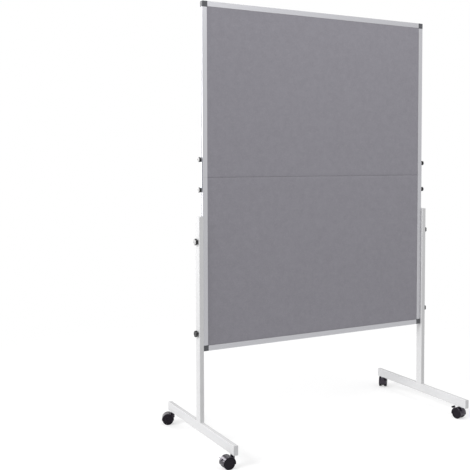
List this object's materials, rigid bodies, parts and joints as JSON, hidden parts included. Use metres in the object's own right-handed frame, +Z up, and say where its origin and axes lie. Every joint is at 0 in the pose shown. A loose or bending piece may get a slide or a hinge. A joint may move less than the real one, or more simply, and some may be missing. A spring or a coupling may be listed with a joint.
{
  "type": "mobile pinboard",
  "caption": "Folding felt pinboard in an aluminium frame, clamped between two posts on foot bars with swivel casters; straps on its sides lock the fold.",
  "frame": {"origin": "on the floor, midway between the two foot bars, in the middle plane of the board", "axes": "+X along the board to the right seen from the front, +Y to the back, +Z up"},
  "size_m": [1.3287, 0.7002, 1.906],
  "materials": {
    "felt_grey": "needled felt, matt",
    "core_board": "raw board",
    "anodised_aluminium": "satin anodised",
    "corner_plastic": "fine moulded texture",
    "powder_coat": "light grey powder coat, satin",
    "cap_plastic": "moulded, satin",
    "knob_plastic": "moulded black, satin",
    "caster_plastic": "moulded black",
    "wheel_plastic": "moulded black",
    "zinc_steel": "bright zinc plate"
  },
  "bodies": {
    "base": {"caster_stems": "zinc_steel", "hinge_pins": "zinc_steel", "left_foot_bar": "powder_coat", "left_post": "powder_coat", "lower_bottom_rail": "anodised_aluminium", "lower_core": "core_board", "lower_felt_back": "felt_grey", "lower_felt_front": "felt_grey", "lower_hinge_leaves": "zinc_steel", "lower_hinge_screws": "zinc_steel", "lower_left_corner": "corner_plastic", "lower_left_rail": "anodised_aluminium", "lower_right_corner": "corner_plastic", "lower_right_rail": "anodised_aluminium", "lower_seam_edging": "anodised_aluminium", "post_bolts": "zinc_steel", "post_spacers": "caster_plastic", "right_foot_bar": "powder_coat", "right_post": "powder_coat", "slot_nuts": "zinc_steel", "tube_caps": "cap_plastic"},
    "upper_board": {"upper_core": "core_board", "upper_felt_back": "felt_grey", "upper_felt_front": "felt_grey", "upper_hinge_leaves": "zinc_steel", "upper_hinge_screws": "zinc_steel", "upper_left_corner": "corner_plastic", "upper_left_rail": "anodised_aluminium", "upper_right_corner": "corner_plastic", "upper_right_rail": "anodised_aluminium", "upper_seam_edging": "anodised_aluminium", "upper_top_rail": "anodised_aluminium"},
    "left_lock": {"left_lock_strap": "zinc_steel"},
    "left_lock_knob_upper": {"left_lock_knob_upper": "knob_plastic"},
    "left_lock_knob_lower": {"left_lock_knob_lower": "knob_plastic"},
    "left_clamp_knob_lower": {"left_clamp_knob_lower": "knob_plastic"},
    "left_clamp_knob_upper": {"left_clamp_knob_upper": "knob_plastic"},
    "right_lock": {"right_lock_strap": "zinc_steel"},
    "right_lock_knob_upper": {"right_lock_knob_upper": "knob_plastic"},
    "right_lock_knob_lower": {"right_lock_knob_lower": "knob_plastic"},
    "right_clamp_knob_lower": {"right_clamp_knob_lower": "knob_plastic"},
    "right_clamp_knob_upper": {"right_clamp_knob_upper": "knob_plastic"},
    "front_left_caster": {"front_left_caster_hood": "caster_plastic", "front_left_caster_axle": "zinc_steel"},
    "front_left_wheel_a": {"front_left_wheel_a": "wheel_plastic"},
    "front_left_wheel_b": {"front_left_wheel_b": "wheel_plastic"},
    "front_left_brake_lever": {"front_left_brake_lever": "caster_plastic"},
    "front_right_caster": {"front_right_caster_hood": "caster_plastic", "front_right_caster_axle": "zinc_steel"},
    "front_right_wheel_a": {"front_right_wheel_a": "wheel_plastic"},
    "front_right_wheel_b": {"front_right_wheel_b": "wheel_plastic"},
    "front_right_brake_lever": {"front_right_brake_lever": "caster_plastic"},
    "rear_left_caster": {"rear_left_caster_hood": "caster_plastic", "rear_left_caster_axle": "zinc_steel"},
    "rear_left_wheel_a": {"rear_left_wheel_a": "wheel_plastic"},
    "rear_left_wheel_b": {"rear_left_wheel_b": "wheel_plastic"},
    "rear_right_caster": {"rear_right_caster_hood": "caster_plastic", "rear_right_caster_axle": "zinc_steel"},
    "rear_right_wheel_a": {"rear_right_wheel_a": "wheel_plastic"},
    "rear_right_wheel_b": {"rear_right_wheel_b": "wheel_plastic"}
  },
  "joints": [
    {"name": "fold", "type": "hinge", "parent": "base", "child": "upper_board", "pos_m": [0, 0.0132, 1.156], "axis": [-1, 0, 0], "range_deg": [0, 180]},
    {"name": "left_lock_slide", "type": "slide", "parent": "base", "child": "left_lock", "axis": [0, 0, -1], "range_m": [0, 0.102]},
    {"name": "left_lock_knob_upper_turn", "type": "hinge", "parent": "left_lock", "child": "left_lock_knob_upper", "pos_m": [-0.605, 0, 1.233], "axis": [-1, 0, 0], "continuous": true},
    {"name": "left_lock_knob_lower_turn", "type": "hinge", "parent": "left_lock", "child": "left_lock_knob_lower", "pos_m": [-0.605, 0, 1.103], "axis": [-1, 0, 0], "continuous": true},
    {"name": "left_clamp_knob_lower_turn", "type": "hinge", "parent": "base", "child": "left_clamp_knob_lower", "pos_m": [-0.6216, 0, 0.484], "axis": [-1, 0, 0], "continuous": true},
    {"name": "left_clamp_knob_upper_turn", "type": "hinge", "parent": "base", "child": "left_clamp_knob_upper", "pos_m": [-0.6216, 0, 0.881], "axis": [-1, 0, 0], "continuous": true},
    {"name": "right_lock_slide", "type": "slide", "parent": "base", "child": "right_lock", "axis": [0, 0, -1], "range_m": [0, 0.084]},
    {"name": "right_lock_knob_upper_turn", "type": "hinge", "parent": "right_lock", "child": "right_lock_knob_upper", "pos_m": [0.605, 0, 1.215], "axis": [1, 0, 0], "continuous": true},
    {"name": "right_lock_knob_lower_turn", "type": "hinge", "parent": "right_lock", "child": "right_lock_knob_lower", "pos_m": [0.605, 0, 1.085], "axis": [1, 0, 0], "continuous": true},
    {"name": "right_clamp_knob_lower_turn", "type": "hinge", "parent": "base", "child": "right_clamp_knob_lower", "pos_m": [0.6216, 0, 0.484], "axis": [1, 0, 0], "continuous": true},
    {"name": "right_clamp_knob_upper_turn", "type": "hinge", "parent": "base", "child": "right_clamp_knob_upper", "pos_m": [0.6216, 0, 0.881], "axis": [1, 0, 0], "continuous": true},
    {"name": "front_left_caster_swivel", "type": "hinge", "parent": "base", "child": "front_left_caster", "pos_m": [-0.6115, -0.31, 0.045], "axis": [0, 0, 1], "continuous": true},
    {"name": "front_left_wheel_a_roll", "type": "hinge", "parent": "front_left_caster", "child": "front_left_wheel_a", "pos_m": [-0.6335, -0.31, 0.025], "axis": [0, -1, 0], "continuous": true},
    {"name": "front_left_wheel_b_roll", "type": "hinge", "parent": "front_left_caster", "child": "front_left_wheel_b", "pos_m": [-0.6335, -0.31, 0.025], "axis": [0, -1, 0], "continuous": true},
    {"name": "front_left_brake_lever_tip", "type": "hinge", "parent": "front_left_caster", "child": "front_left_brake_lever", "pos_m": [-0.64968, -0.31, 0.03676], "axis": [0, -1, 0], "range_deg": [0, 16]},
    {"name": "front_right_caster_swivel", "type": "hinge", "parent": "base", "child": "front_right_caster", "pos_m": [0.6115, -0.31, 0.045], "axis": [0, 0, 1], "continuous": true},
    {"name": "front_right_wheel_a_roll", "type": "hinge", "parent": "front_right_caster", "child": "front_right_wheel_a", "pos_m": [0.6073, -0.2884, 0.025], "axis": [-0.9816, -0.1908, 0], "continuous": true},
    {"name": "front_right_wheel_b_roll", "type": "hinge", "parent": "front_right_caster", "child": "front_right_wheel_b", "pos_m": [0.6073, -0.2884, 0.025], "axis": [-0.9816, -0.1908, 0], "continuous": true},
    {"name": "front_right_brake_lever_tip", "type": "hinge", "parent": "front_right_caster", "child": "front_right_brake_lever", "pos_m": [0.60421, -0.27252, 0.03676], "axis": [-0.9816, -0.1908, 0], "range_deg": [0, 16]},
    {"name": "rear_left_caster_swivel", "type": "hinge", "parent": "base", "child": "rear_left_caster", "pos_m": [-0.6115, 0.31, 0.045], "axis": [0, 0, 1], "continuous": true},
    {"name": "rear_left_wheel_a_roll", "type": "hinge", "parent": "rear_left_caster", "child": "rear_left_wheel_a", "pos_m": [-0.63175, 0.3186, 0.025], "axis": [-0.3907, -0.9205, 0], "continuous": true},
    {"name": "rear_left_wheel_b_roll", "type": "hinge", "parent": "rear_left_caster", "child": "rear_left_wheel_b", "pos_m": [-0.63175, 0.3186, 0.025], "axis": [-0.3907, -0.9205, 0], "continuous": true},
    {"name": "rear_right_caster_swivel", "type": "hinge", "parent": "base", "child": "rear_right_caster", "pos_m": [0.6115, 0.31, 0.045], "axis": [0, 0, 1], "continuous": true},
    {"name": "rear_right_wheel_a_roll", "type": "hinge", "parent": "rear_right_caster", "child": "rear_right_wheel_a", "pos_m": [0.6265, 0.32609, 0.025], "axis": [-0.7314, 0.682, 0], "continuous": true},
    {"name": "rear_right_wheel_b_roll", "type": "hinge", "parent": "rear_right_caster", "child": "rear_right_wheel_b", "pos_m": [0.6265, 0.32609, 0.025], "axis": [-0.7314, 0.682, 0], "continuous": true}
  ]
}
